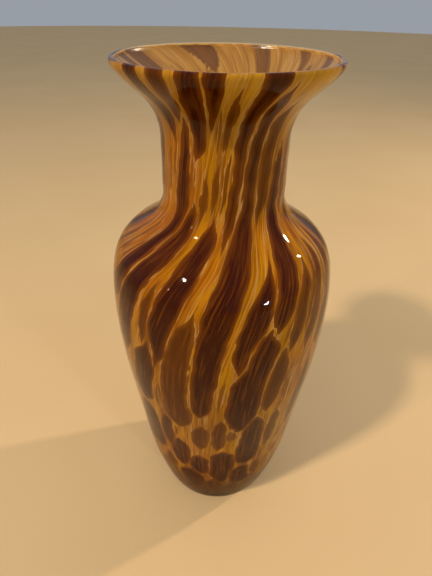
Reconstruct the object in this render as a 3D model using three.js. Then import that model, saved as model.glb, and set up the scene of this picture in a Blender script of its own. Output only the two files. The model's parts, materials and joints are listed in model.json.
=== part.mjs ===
// Hand blown art glass vase: an amber lining, brown glass pieces rolled on to it, and a clear
// casing over both. Millimetres, +Z up, origin on the axis in the plane that the foot rests on.
// The front of the vase faces -Y. Angles are degrees round the axis, from the front towards +X.
import * as THREE from 'three';

// Overall size
const HEIGHT = 300;
const WALL = 4.2;

// Layers, as depths below the outside wall
const CASING_INSIDE = 1.7;
const BROWN_OUTSIDE = 2.05;
const BROWN_INSIDE = 2.5;
const BROWN_MIDDLE = (BROWN_OUTSIDE + BROWN_INSIDE) / 2;
const LINING_OUTSIDE = 2.85;

// Foot and floor
const FOOT_RADIUS = 38;
const KICK_RADIUS = 25;
const KICK_FLAT_RADIUS = 11;
const KICK_HEIGHT = 2;
const CASING_FLOOR = 4.5;
const CASING_FLOOR_RADIUS = 37;
const LINING_UNDERSIDE = 5.65;
const LINING_UNDERSIDE_RADIUS = 36.4;
const LINING_FLOOR = 10.7;
const LINING_FLOOR_RADIUS = 33;

// Lip: the casing is rounded over the wall and covers the top of the lining
const LIP_POINTS = 4;
const LIP_SPRING = HEIGHT - WALL / 2;
const LIP_UNDERSIDE = 296.8;
const LINING_TOP = 296.4;
const INSIDE_WALL_TOP = 292;

const FACETS = 36;
const WIDEST_COLUMN = 9;

// Outside wall as [height, radius]: foot, belly, shoulder, neck, flare, lip
const OUTLINE = [
  [0, 38], [2.5, 41.4], [6, 42.9], [20, 46.7], [40, 51.2], [68, 55.1], [100, 58.7], [132, 62.4],
  [164, 64.2], [184, 63.8], [198, 62], [208, 58.4], [214, 53.4], [220, 45], [226, 37.4],
  [232, 33.3], [240, 32.3], [262, 31.8], [272, 32.4], [280, 35.6], [286, 40.6], [291, 46.4],
  [295, 50.2], [298, 51.9], [300, 52],
];

// Twist of the glass as [height, degrees]: how far the streaks are carried round the axis
const TWIST = [
  [0, -24], [100, -23], [150, -20], [187, -13], [209, -5], [221, 3], [233, 11], [260, 18],
  [300, 29],
];

// Heights on the outside wall where the two shells have a ring of points
const SHELL_HEIGHTS = [
  6, 14, 30, 42, 55, 85, 115, 130, 145, 157, 168, 176, 184, 190, 196, 203, 209, 215, 221, 227,
  233, 245, 260, 271, 278, 285, 291, 294,
];

// Heights where a brown piece may begin, end or have a row of points, from the top down
const ROW_HEIGHTS = [
  294, 291, 285, 278, 271, 265, 260, 252, 245, 239, 233, 227, 221, 215, 209, 203, 196, 190, 184,
  176, 168, 160, 152, 145, 137, 130, 122, 115, 107, 100, 92, 85, 77, 70, 62, 55, 48, 42, 36, 30,
  22, 14,
];

// Seam of amber, in degrees, that always stays between two brown pieces
const SEAM = 1;

// Brown pieces. at: degrees round the axis before the twist; top and bottom: heights; wide:
// degrees; peak: where it is widest, from 0 at the top to 1 at the bottom; blunt: 2 is a plain
// oval, more is squarer; lean: degrees gained from top to bottom; cut: how far into its shape
// the top begins, where the lip has cut through the piece; tone: how deep its brown is.
const BROWN = [
  { name: 'neck_streak_01', at: -5, top: 294, bottom: 227, wide: 10, blunt: 4, cut: 0.2, tone: 1 },
  { name: 'long_streak_01', at: 8.5, top: 291, bottom: 122, wide: 13, blunt: 5, lean: 7, tone: 1 },
  { name: 'neck_streak_02', at: 20.5, top: 285, bottom: 233, wide: 12, blunt: 3, tone: 0.7 },
  { name: 'shoulder_streak_01', at: 39.5, top: 265, bottom: 184, wide: 11, blunt: 3, lean: 3,
    tone: 0.9 },
  { name: 'neck_streak_03', at: 51, top: 285, bottom: 233, wide: 9, blunt: 3, tone: 0.7 },
  { name: 'neck_streak_04', at: 65, top: 291, bottom: 227, wide: 9, blunt: 3, tone: 0.9 },
  { name: 'shoulder_streak_02', at: -54.5, top: 278, bottom: 184, wide: 11, blunt: 4, tone: 1 },
  { name: 'lip_streak_01', at: -43.5, top: 294, bottom: 260, wide: 12, peak: 0.4, cut: 0.1,
    tone: 1 },
  { name: 'lip_streak_02', at: -32.5, top: 294, bottom: 278, wide: 6, blunt: 3, cut: 0.3,
    tone: 0.9 },
  { name: 'lip_streak_03', at: -59, top: 294, bottom: 278, wide: 8, blunt: 3, cut: 0.3,
    tone: 0.4 },
  { name: 'lip_streak_04', at: -71, top: 294, bottom: 271, wide: 7, blunt: 3, lean: 9, cut: 0.3,
    tone: 0.8 },
  { name: 'neck_fleck_01', at: -20, top: 291, bottom: 265, wide: 6, tone: 0.4 },
  { name: 'neck_fleck_02', at: -23, top: 260, bottom: 239, wide: 6, tone: 0.5 },
  { name: 'neck_fleck_03', at: -15, top: 265, bottom: 239, wide: 5, tone: 0.6 },
  { name: 'neck_fleck_04', at: -32, top: 252, bottom: 233, wide: 7, tone: 0.5 },
  { name: 'shoulder_streak_03', at: -40.5, top: 239, bottom: 152, wide: 12, blunt: 4, tone: 1 },
  { name: 'shoulder_streak_04', at: -17, top: 233, bottom: 160, wide: 13, peak: 0.42, lean: 4,
    blunt: 2.4, tone: 1 },
  { name: 'shoulder_streak_05', at: 28, top: 215, bottom: 160, wide: 11, peak: 0.4, tone: 0.9 },
  { name: 'shoulder_streak_06', at: 53, top: 215, bottom: 168, wide: 7, blunt: 3, tone: 0.6 },
  { name: 'shoulder_streak_07', at: 65, top: 221, bottom: 168, wide: 8, blunt: 3, tone: 0.7 },
  { name: 'shoulder_streak_08', at: 77, top: 221, bottom: 160, wide: 8, blunt: 3, tone: 0.6 },
  { name: 'belly_chip_01', at: -26, top: 209, bottom: 168, wide: 5, lean: 4, tone: 0.6 },
  { name: 'belly_chip_02', at: -23, top: 176, bottom: 115, wide: 13, blunt: 3, lean: -5,
    tone: 0.8 },
  { name: 'belly_chip_03', at: -1.5, top: 196, bottom: 107, wide: 16, peak: 0.72, lean: 3,
    blunt: 2.4, tone: 0.6 },
  { name: 'belly_chip_04', at: 36, top: 190, bottom: 107, wide: 18, peak: 0.42, lean: -2,
    blunt: 2.4, tone: 1 },
  { name: 'belly_chip_05', at: 49.5, top: 176, bottom: 122, wide: 10, peak: 0.45, tone: 0.7 },
  { name: 'belly_chip_06', at: 74, top: 152, bottom: 92, wide: 10, tone: 0.5 },
  { name: 'low_chip_01', at: -26.5, top: 115, bottom: 62, wide: 17, blunt: 3, tone: 0.8 },
  { name: 'low_chip_02', at: 45, top: 122, bottom: 62, wide: 12, tone: 1 },
  { name: 'low_chip_03', at: -9, top: 115, bottom: 77, wide: 7, tone: 0.9 },
  { name: 'low_chip_04', at: 13, top: 115, bottom: 85, wide: 9, tone: 0.6 },
  { name: 'low_chip_05', at: 24, top: 122, bottom: 85, wide: 8, tone: 0.6 },
  { name: 'low_chip_06', at: 58.5, top: 122, bottom: 77, wide: 7, tone: 0.6 },
  { name: 'foot_chip_01', at: 27.5, top: 85, bottom: 36, wide: 11, tone: 0.9 },
  { name: 'foot_chip_02', at: -2, top: 92, bottom: 55, wide: 9, tone: 1 },
  { name: 'foot_chip_03', at: 11.5, top: 77, bottom: 48, wide: 9, tone: 0.8 },
  { name: 'foot_chip_04', at: 43, top: 62, bottom: 30, wide: 12, tone: 0.8 },
  { name: 'foot_chip_05', at: 5.5, top: 55, bottom: 22, wide: 13, tone: 1 },
  { name: 'back_streak_01', at: 92, top: 291, bottom: 176, wide: 11, blunt: 4, tone: 0.9 },
  { name: 'back_streak_02', at: 112, top: 265, bottom: 145, wide: 13, blunt: 4, lean: 4, tone: 1 },
  { name: 'back_streak_03', at: 133, top: 294, bottom: 203, wide: 10, blunt: 4, cut: 0.25,
    tone: 0.7 },
  { name: 'back_streak_04', at: 156, top: 271, bottom: 152, wide: 14, blunt: 4, lean: -4, tone: 1 },
  { name: 'back_streak_05', at: 178, top: 285, bottom: 184, wide: 11, blunt: 3, tone: 0.8 },
  { name: 'back_streak_06', at: 201, top: 260, bottom: 137, wide: 13, blunt: 4, lean: 5,
    tone: 0.9 },
  { name: 'back_streak_07', at: 222, top: 294, bottom: 190, wide: 12, blunt: 4, cut: 0.25,
    tone: 1 },
  { name: 'back_streak_08', at: 243, top: 271, bottom: 145, wide: 12, blunt: 4, tone: 0.7 },
  { name: 'back_streak_09', at: 265, top: 291, bottom: 168, wide: 12, blunt: 4, lean: -3,
    tone: 0.9 },
  { name: 'back_chip_01', at: 94, top: 168, bottom: 100, wide: 15, tone: 0.9 },
  { name: 'back_chip_02', at: 134, top: 190, bottom: 115, wide: 15, blunt: 2.4, tone: 0.8 },
  { name: 'back_chip_03', at: 116, top: 130, bottom: 70, wide: 14, tone: 0.6 },
  { name: 'back_chip_04', at: 178, top: 176, bottom: 107, wide: 15, tone: 1 },
  { name: 'back_chip_05', at: 150, top: 130, bottom: 62, wide: 15, tone: 0.9 },
  { name: 'back_chip_06', at: 222, top: 176, bottom: 100, wide: 16, blunt: 2.4, tone: 0.8 },
  { name: 'back_chip_07', at: 198, top: 115, bottom: 55, wide: 15, tone: 0.9 },
  { name: 'back_chip_08', at: 264, top: 160, bottom: 92, wide: 15, tone: 0.8 },
  { name: 'back_chip_09', at: 240, top: 115, bottom: 48, wide: 16, tone: 1 },
  { name: 'back_chip_10', at: 280, top: 107, bottom: 48, wide: 14, tone: 0.7 },
];

// A smooth function through [position, value] points, in rising order of position.
function through(points) {
  const positions = Float64Array.from(points, (point) => point[0]);
  const values = Float64Array.from(points, (point) => point[1]);
  const curve = new THREE.CubicInterpolant(positions, values, 1, new Float64Array(1));
  return (position) => curve.evaluate(position)[0];
}

const outsideRadius = through(OUTLINE);
const twistAt = through(TWIST);

// The point at a depth below the outside wall, square to it, as (radius, height).
function inWall(height, depth) {
  const step = 0.5;
  const rise = outsideRadius(height + step) - outsideRadius(height - step);
  const slope = rise / (2 * step);
  const length = Math.hypot(1, slope);
  const radius = outsideRadius(height) - depth / length;
  return new THREE.Vector2(radius, height + (depth * slope) / length);
}

// The rounded lip, from the outside wall over the top to the inside wall.
function lip() {
  const middle = outsideRadius(LIP_SPRING) - WALL / 2;
  const arc = new THREE.EllipseCurve(middle, LIP_SPRING, WALL / 2, WALL / 2, 0, Math.PI);
  return arc.getPoints(LIP_POINTS);
}

// A profile turned round the Z axis.
function turned(profile) {
  const geometry = new THREE.LatheGeometry(profile, FACETS);
  geometry.rotateX(Math.PI / 2);
  return geometry;
}

// Clear casing: foot, outside wall, rounded lip, then back down its own inside.
function casingGeometry() {
  const up = SHELL_HEIGHTS.map((height) => inWall(height, 0));
  const down = SHELL_HEIGHTS.map((height) => inWall(height, CASING_INSIDE)).reverse();
  const lipRadius = outsideRadius(LIP_SPRING);
  return turned([
    new THREE.Vector2(0, KICK_HEIGHT),
    new THREE.Vector2(KICK_FLAT_RADIUS, KICK_HEIGHT),
    new THREE.Vector2(KICK_RADIUS, 0),
    new THREE.Vector2(FOOT_RADIUS, 0),
    inWall(OUTLINE[1][0], 0),
    ...up,
    ...lip(),
    new THREE.Vector2(lipRadius - WALL, LIP_UNDERSIDE),
    new THREE.Vector2(lipRadius - CASING_INSIDE, LIP_UNDERSIDE),
    ...down,
    new THREE.Vector2(CASING_FLOOR_RADIUS, CASING_FLOOR),
    new THREE.Vector2(0, CASING_FLOOR),
  ]);
}

// Amber lining: a bottle-shaped shell inside the casing, with a thick floor.
function liningGeometry() {
  const up = SHELL_HEIGHTS.map((height) => inWall(height, LINING_OUTSIDE));
  const inside = SHELL_HEIGHTS.filter(
    (height) => height > LINING_FLOOR && height < INSIDE_WALL_TOP,
  );
  const down = inside.map((height) => inWall(height, WALL)).reverse();
  const lipRadius = outsideRadius(LIP_SPRING);
  return turned([
    new THREE.Vector2(0, LINING_UNDERSIDE),
    new THREE.Vector2(LINING_UNDERSIDE_RADIUS, LINING_UNDERSIDE),
    ...up,
    new THREE.Vector2(lipRadius - LINING_OUTSIDE, LINING_TOP),
    new THREE.Vector2(lipRadius - WALL, LINING_TOP),
    ...down,
    new THREE.Vector2(LINING_FLOOR_RADIUS, LINING_FLOOR),
    new THREE.Vector2(0, LINING_FLOOR),
  ]);
}

// Middle and width of a brown piece at a height, in degrees, before its neighbours press on it.
function bandAt(piece, height) {
  const { at, top, bottom, wide, peak = 0.5, blunt = 2, lean = 0, cut = 0 } = piece;
  const along = (top - height) / (top - bottom);
  const middle = at + lean * (along - 0.5) + twistAt(height);
  const half = along < peak ? (0.5 * along) / peak : 0.5 + (0.5 * (along - peak)) / (1 - peak);
  const shape = cut + half * (1 - cut);
  const rounded = Math.max(0, 1 - Math.abs(2 * shape - 1) ** blunt);
  return { middle, width: wide * rounded ** (1 / blunt) };
}

// Signed angle from one direction to another, in degrees, between -180 and 180.
function turnBetween(from, to) {
  return THREE.MathUtils.euclideanModulo(to - from + 180, 360) - 180;
}

// Left and right edges of a brown piece at a height. Where two pieces would run into each
// other they share the room by their widths, with a seam of amber left between them.
function edgesAt(piece, height) {
  const { middle, width } = bandAt(piece, height);
  let left = -width / 2;
  let right = width / 2;
  for (const other of BROWN) {
    if (other === piece || height > other.top || height < other.bottom) continue;
    const band = bandAt(other, height);
    const away = turnBetween(middle, band.middle);
    if (Math.abs(away) > (width + band.width) / 2 + SEAM) continue;
    const border = (away * (width + SEAM)) / (width + band.width + 2 * SEAM);
    if (away > 0) right = Math.min(right, border - SEAM / 2);
    else left = Math.max(left, border + SEAM / 2);
  }
  return { left: middle + left, right: middle + right };
}

// A brown piece is a sphere drawn out along the wall: its rings are rows across the piece, half
// of each ring on the outside face and half on the inside face. The poles are its two tips.
function brownGeometry(piece) {
  const rows = ROW_HEIGHTS.filter((height) => height <= piece.top && height >= piece.bottom);
  if (piece.cut) rows.unshift(piece.top);
  const columns = Math.max(2, Math.ceil(piece.wide / WIDEST_COLUMN));
  const ring = 2 * (columns + 1);
  const geometry = new THREE.SphereGeometry(1, ring, rows.length - 1);
  const position = geometry.attributes.position;
  for (let row = 0; row < rows.length; row += 1) {
    const tip = row === 0 || row === rows.length - 1;
    const edges = edgesAt(piece, rows[row]);
    for (let turn = 0; turn <= ring; turn += 1) {
      const place = turn % ring;
      const outside = place <= columns;
      const across = outside ? place / columns : (ring - 1 - place) / columns;
      const angle = THREE.MathUtils.lerp(edges.left, edges.right, tip ? 0.5 : across);
      const depth = outside ? BROWN_OUTSIDE : BROWN_INSIDE;
      const point = inWall(rows[row], tip ? BROWN_MIDDLE : depth);
      const round = THREE.MathUtils.degToRad(angle);
      const x = point.x * Math.sin(round);
      const y = -point.x * Math.cos(round);
      position.setXYZ(row * (ring + 1) + turn, x, y, point.y);
    }
  }
  return geometry;
}

function namedMesh(name, geometry, material) {
  const mesh = new THREE.Mesh(geometry, material);
  mesh.name = name;
  return mesh;
}

const clearGlass = new THREE.MeshStandardMaterial({
  color: 0xe8eeea, roughness: 0.05, metalness: 0, transparent: true, opacity: 0.3,
});
const amberGlass = new THREE.MeshStandardMaterial({
  color: 0xbe7a12, roughness: 0.12, metalness: 0,
});
const paleBrown = new THREE.Color(0x8a4a1c);
const deepBrown = new THREE.Color(0x3a1810);

// Brown glass, from a thin reddish brown to a deep one.
function brownGlass(tone) {
  const color = paleBrown.clone().lerp(deepBrown, tone);
  return new THREE.MeshStandardMaterial({ color, roughness: 0.1, metalness: 0 });
}

const vase = new THREE.Group();
vase.add(namedMesh('amber_lining', liningGeometry(), amberGlass));
for (const piece of BROWN) {
  vase.add(namedMesh(piece.name, brownGeometry(piece), brownGlass(piece.tone)));
}
vase.add(namedMesh('clear_casing', casingGeometry(), clearGlass));

export default vase;
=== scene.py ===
import json
import math
import random

import bmesh
import bpy
import numpy as np
from bpy.props import FloatProperty, FloatVectorProperty, IntProperty, PointerProperty
from mathutils import Matrix, Vector
from mathutils.kdtree import KDTree


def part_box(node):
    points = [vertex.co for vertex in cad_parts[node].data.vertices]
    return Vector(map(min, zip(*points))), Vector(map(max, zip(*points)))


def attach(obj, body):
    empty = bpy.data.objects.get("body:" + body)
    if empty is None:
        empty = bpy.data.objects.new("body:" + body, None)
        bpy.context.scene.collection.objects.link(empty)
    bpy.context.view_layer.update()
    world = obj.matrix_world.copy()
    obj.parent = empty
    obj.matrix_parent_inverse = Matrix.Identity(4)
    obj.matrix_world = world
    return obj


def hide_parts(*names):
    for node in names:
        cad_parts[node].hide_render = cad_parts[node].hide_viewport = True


bl_info = {
    "name": "Combed Glass Vase",
    "version": (1, 0, 0),
    "blender": (4, 5, 0),
    "location": "View3D > Sidebar > Glass Vase",
    "description": "Builds a blown vase of amber glass with combed brown pieces under a clear casing",
    "category": "Object",
}

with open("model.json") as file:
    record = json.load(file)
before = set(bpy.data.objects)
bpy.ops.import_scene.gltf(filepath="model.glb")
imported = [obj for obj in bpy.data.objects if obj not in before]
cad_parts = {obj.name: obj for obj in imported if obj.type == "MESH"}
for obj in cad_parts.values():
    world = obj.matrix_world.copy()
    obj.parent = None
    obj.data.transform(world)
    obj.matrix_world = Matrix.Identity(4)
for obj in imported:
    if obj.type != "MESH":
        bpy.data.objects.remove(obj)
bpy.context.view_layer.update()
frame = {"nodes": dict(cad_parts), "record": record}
BODY = "root"
MM = 0.001

CASING = "clear_casing"
LINING = "amber_lining"
DEEP_BROWN = "deep_brown_glass"
THIN_BROWN = "thin_brown_glass"
BROWNS = [name for name in frame["nodes"] if name not in (CASING, LINING)]
SLOTS = {part["node"]: part["material_slot"] for part in frame["record"]["subparts"]}

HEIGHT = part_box(CASING)[1][2]
# The pattern and the lining end just under the clear lip.
PATTERN_TOP = HEIGHT - 0.45 * MM
LINING_TOP = HEIGHT - 0.35 * MM
# The wall thins from here up to the lip.
LIP_START = HEIGHT - 16 * MM

# Vertices of a CAD piece whose heights differ by less than this belong to one row.
ROW_GAP = 1.3 * MM
# Pieces are round-ended below the first height and have drawn-out tips above the second.
ROUND_ZONE = (105 * MM, 140 * MM)
# Pieces spread further into free room below the second height, and furthest below the first.
SPREAD_ZONE = (60 * MM, 115 * MM)
LOW_SPREAD = 1.2
# Darkness of the CAD pieces of each finish.
DEEP_TONE = 0.9
THIN_TONE = 0.5
# How far from its tips a piece spreads to its full width, in the two zones.
ROUND_TAPER = 6 * MM
POINTED_TAPER = 16 * MM
# 1 draws a tip as a point, more rounds it.
ROUND_POWER = 1.9
POINTED_POWER = 1.12

# How far the combed pattern is turned at each height: millimetres, degrees.
TWIST = [
    (0, -24), (100, -23), (150, -20), (187, -13), (209, -5), (221, 3), (233, 11), (260, 18), (300, 29),
]

# Small brown pieces between the large ones: turn in degrees before the twist, top and bottom height in
# millimetres, width in degrees, and darkness from 0, thin as a stain, to 1.
SMALL_PIECES = [
    (-66, 274, 250, 5, 0.1), (-73, 268, 240, 8, 0.15), (-27, 286, 262, 4, 0.1), (-43, 262, 248, 4, 0.1),
    (31, 111, 96, 7, 0.4), (55, 64, 40, 9, 0.4), (-13, 67, 42, 9, 0.45), (22, 44, 20, 14, 0.6),
    (40, 36, 14, 12, 0.7), (61, 164, 122, 7, 0.15), (-44, 148, 92, 8, 0.4), (73, 150, 88, 8, 0.35),
    (-30, 60, 52, 5, 0.5), (4, 33, 14, 13, 0.8), (-20, 30, 9, 15, 0.85), (-42, 28, 10, 14, 0.8),
    (-62, 40, 16, 12, 0.6), (62, 34, 12, 13, 0.75), (84, 40, 14, 14, 0.6), (-84, 36, 12, 13, 0.7),
    (-70, 238, 196, 4, 0.3), (-61, 234, 202, 4, 0.2), (-79, 232, 188, 5, 0.4), (-90, 238, 200, 5, 0.4),
    (60, 224, 176, 4, 0.4), (71, 228, 184, 4, 0.35), (173, 299, 283, 19, 0.85), (38, 299, 279, 7, 0.5),
    (-103, 299, 283, 8, 0.5), (-124, 299, 281, 9, 0.6), (76, 299, 276, 9, 0.7), (100, 299, 282, 8, 0.5),
    (97, 90, 52, 11, 0.7), (133, 104, 58, 10, 0.6), (174, 98, 56, 11, 0.7), (219, 92, 50, 11, 0.65),
    (262, 84, 46, 10, 0.6), (104, 46, 18, 13, 0.75), (126, 52, 22, 12, 0.6), (148, 50, 18, 13, 0.7),
    (168, 48, 22, 12, 0.65), (190, 46, 16, 14, 0.8), (212, 44, 20, 12, 0.6), (232, 40, 16, 13, 0.75),
    (252, 42, 20, 12, 0.65),
]
SMALL_SEED = 500

# Thin streaks placed by chance wherever there is room for them. Heights, lengths, widths and the free
# room beside them are in millimetres.
WISPS = 90
WISP_TRIES = 12 * WISPS
WISP_SEED = 11
WISP_FIRST = 100
# Where their middles lie: this share of them anywhere, and the others below the shoulder.
WISP_ANYWHERE = 0.35
WISP_SPAN = (20, 285)
WISP_SPAN_BELOW = (20, 210)
WISP_SHORT_BELOW = 110
WISP_SHORT = (14, 30)
WISP_LONG = (22, 55)
WISP_ENDS = (9, 294)
WISP_WIDTH = (2.0, 6.5)
WISP_TONE = (0.05, 0.45)
WISP_ROOM = 1.1

# Vertices closer than this are one.
MERGE = 0.002 * MM
# Radius of the drum that the combed pattern is unrolled from, in millimetres.
DRUM = 50

# Heights in millimetres between which the glass changes, from the first to the second: where the
# clear glass is tinted dark as painted shade over the base and dulls towards the foot, the amber turns to
# straw near the lip and darkens round the foot, and the brown pieces and the seams beside them darken.
# The darkening of the amber, the pieces and the seams towards the foot is partly the foot's own dark
# ringed glass and partly painted shade for the shaded base.
CLEAR_SHADE_ZONE = (16, 6)
CLEAR_DULL_ZONE = (110, 30)
STRAW_ZONE = (262, 296)
AMBER_FOOT_DARK_AND_SHADE_ZONE = (74, 30)
BROWN_FOOT_DARK_AND_SHADE_ZONE = (80, 22)
SEAM_FOOT_DARK_AND_SHADE_ZONE = (120, 50)
CLEAR_IOR = 1.24
DULL_IOR = 1.07
CLEAR_SHADOW = (0.97, 0.98, 0.97, 1)


def srgb(red, green, blue):
    """Turn a colour picked on a screen, 0 to 255, into the linear values that a shader takes."""
    return tuple((value / 255) ** 2.2 for value in (red, green, blue))


# ---------------------------------------------------------------- the wall of the vase


def smooth_curve(x, xs, ys):
    """Read a smooth curve through the points (xs, ys) at x."""
    xs, ys = np.asarray(xs, float), np.asarray(ys, float)
    slopes = np.gradient(ys, xs)
    low = np.clip(np.searchsorted(xs, x) - 1, 0, len(xs) - 2)
    span = xs[low + 1] - xs[low]
    t = np.clip((x - xs[low]) / span, 0, 1)
    start = ys[low] * (1 + 2 * t) * (1 - t) ** 2 + slopes[low] * span * t * (1 - t) ** 2
    end = ys[low + 1] * t**2 * (3 - 2 * t) + slopes[low + 1] * span * t**2 * (t - 1)
    return start + end


def smooth_step(x, low, high):
    """0 below low, 1 above high, and a soft step between."""
    t = np.clip((x - low) / (high - low), 0, 1)
    return t * t * (3 - 2 * t)


def twist(height):
    """Turn of the combed pattern at a height, in degrees."""
    heights, turns = zip(*TWIST)
    return smooth_curve(height, np.array(heights) * MM, turns)


class Wall:
    """The outside of the clear casing, and places a given depth below it."""

    STEP = 0.25 * MM
    # The rounded lip begins above this height, in millimetres.
    LIP_ZONE = 290
    # A face is on the outside if its normal points outwards by more than this.
    OUTWARD = 0.05

    def __init__(self, node):
        """Take the outline from the casing's outer faces, carried straight up past the rounded lip."""
        mesh = frame["nodes"][node].data
        levels = {}
        for face in mesh.polygons:
            outward = Vector((face.center.x, face.center.y, 0)).normalized().dot(face.normal)
            if outward < self.OUTWARD:
                continue
            for index in face.vertices:
                point = mesh.vertices[index].co
                level = round(point.z / MM, 2)
                levels[level] = max(levels.get(level, 0), math.hypot(point.x, point.y))
        if not levels:
            raise ValueError(f"{node} has no outer faces")
        heights = np.array(sorted(levels))
        radii = np.array([levels[level] for level in heights])
        lip = np.where(heights > self.LIP_ZONE, radii, 0).argmax()
        self.levels = np.append(heights[: lip + 1] * MM, HEIGHT)
        self.radii = np.append(radii[: lip + 1], radii[lip])
        self.grid = np.arange(0, HEIGHT + self.STEP, self.STEP)
        radii = self.radius(self.grid)
        self.arcs = np.concatenate([[0], np.cumsum(np.hypot(np.diff(radii), np.diff(self.grid)))])

    def radius(self, height):
        """Radius of the wall at a height."""
        return smooth_curve(height, self.levels, self.radii)

    def slope(self, height):
        """Growth of the radius with the height."""
        ends = np.clip([height - 2 * self.STEP, height + 2 * self.STEP], 0, HEIGHT)
        return (self.radius(ends[1]) - self.radius(ends[0])) / (ends[1] - ends[0])

    def arc(self, height):
        """Length along the outline from the table up to a height."""
        return np.interp(height, self.grid, self.arcs)

    def below(self, height, depth):
        """Radius and height of the place a depth below the wall, at right angles to it."""
        slope = self.slope(height)
        lean = np.sqrt(1 + slope**2)
        return self.radius(height) - depth / lean, height + depth * slope / lean

    def place(self, turn, height, depth):
        """Points below the wall, with the turn in degrees from the front towards +X."""
        radius, level = self.below(height, depth)
        angle = np.radians(turn)
        return np.stack([radius * np.sin(angle), -radius * np.cos(angle), level + 0 * angle], axis=-1)

    def height_of(self, radius, level, depth):
        """Height on the wall of points that lie a depth below it."""
        grid_radius, grid_level = self.below(self.grid, depth)
        away = np.hypot(radius[:, None] - grid_radius, level[:, None] - grid_level)
        return self.grid[away.argmin(axis=1)]


wall = Wall(CASING)


# ---------------------------------------------------------------- outlines of the brown pieces


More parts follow.
